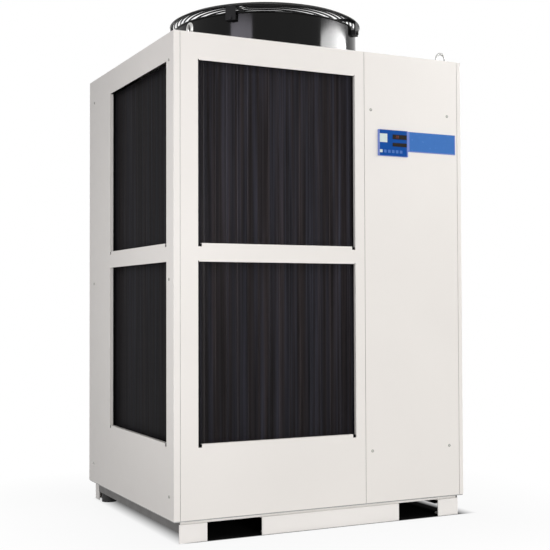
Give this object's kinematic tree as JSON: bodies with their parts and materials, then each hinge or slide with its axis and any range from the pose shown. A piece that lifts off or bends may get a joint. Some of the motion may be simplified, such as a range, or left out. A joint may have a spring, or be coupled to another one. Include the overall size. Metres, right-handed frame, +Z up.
{
  "type": "recirculating chiller",
  "caption": "Free-standing air-cooled recirculating chiller: sheet-metal cabinet on beams with fork slots, windowed condenser coil, top fan with wire guard, lifting eyes.",
  "frame": {"origin": "on the floor under the middle of the cabinet, at the centre of the four anchor holes", "axes": "+Z up, -Y towards the front with the controls, +X towards the service side on the right of someone who faces the front"},
  "size_m": [0.95, 0.8474, 1.5545],
  "materials": {
    "cabinet": "satin ivory powder coat",
    "base_paint": "satin ivory powder coat",
    "zinc_steel": "zinc-coated sheet",
    "coil_fins": "dark coated fins",
    "fan_barrel": "smooth dark sheet",
    "guard_black": "satin black",
    "motor_grey": "painted casting",
    "rotor_dark": "moulded blades",
    "lifting_steel": "zinc-coated forging",
    "pad_rubber": "matt",
    "control_blue": "smooth blue film",
    "display_dark": "tinted window",
    "key_white": "smooth",
    "plate_blue": "smooth blue film",
    "port_brass": "machined",
    "gland_black": "moulded"
  },
  "bodies": {
    "root": {"front_intake_panel": "cabinet", "service_panel": "cabinet", "left_panel": "cabinet", "right_panel": "cabinet", "rear_upper_panel": "cabinet", "rear_lower_panel": "cabinet", "top_panel": "cabinet", "base_beam_front": "base_paint", "base_beam_rear": "base_paint", "base_rail_left": "base_paint", "base_rail_right": "base_paint", "base_pan": "zinc_steel", "post_front_left": "zinc_steel", "post_front_right": "zinc_steel", "post_rear_left": "zinc_steel", "post_rear_right": "zinc_steel", "post_front_centre": "zinc_steel", "rear_cross_rail": "zinc_steel", "top_frame": "zinc_steel", "chamber_floor": "zinc_steel", "motor_arms": "zinc_steel", "condenser_coil": "coil_fins", "fan_shroud": "fan_barrel", "fan_inlet": "fan_barrel", "fan_guard": "guard_black", "fan_motor": "motor_grey", "fan_rotor": "rotor_dark", "eyebolt_front_left": "lifting_steel", "eyebolt_front_right": "lifting_steel", "eyebolt_rear_left": "lifting_steel", "eyebolt_rear_right": "lifting_steel", "rubber_pad_left": "pad_rubber", "rubber_pad_right": "pad_rubber", "control_block": "control_blue", "display_windows": "display_dark", "control_keys": "key_white", "name_plate": "plate_blue", "water_outlet": "port_brass", "water_return": "port_brass", "drain_port": "port_brass", "overflow_port": "port_brass", "cable_gland": "gland_black"}
  },
  "joints": []
}
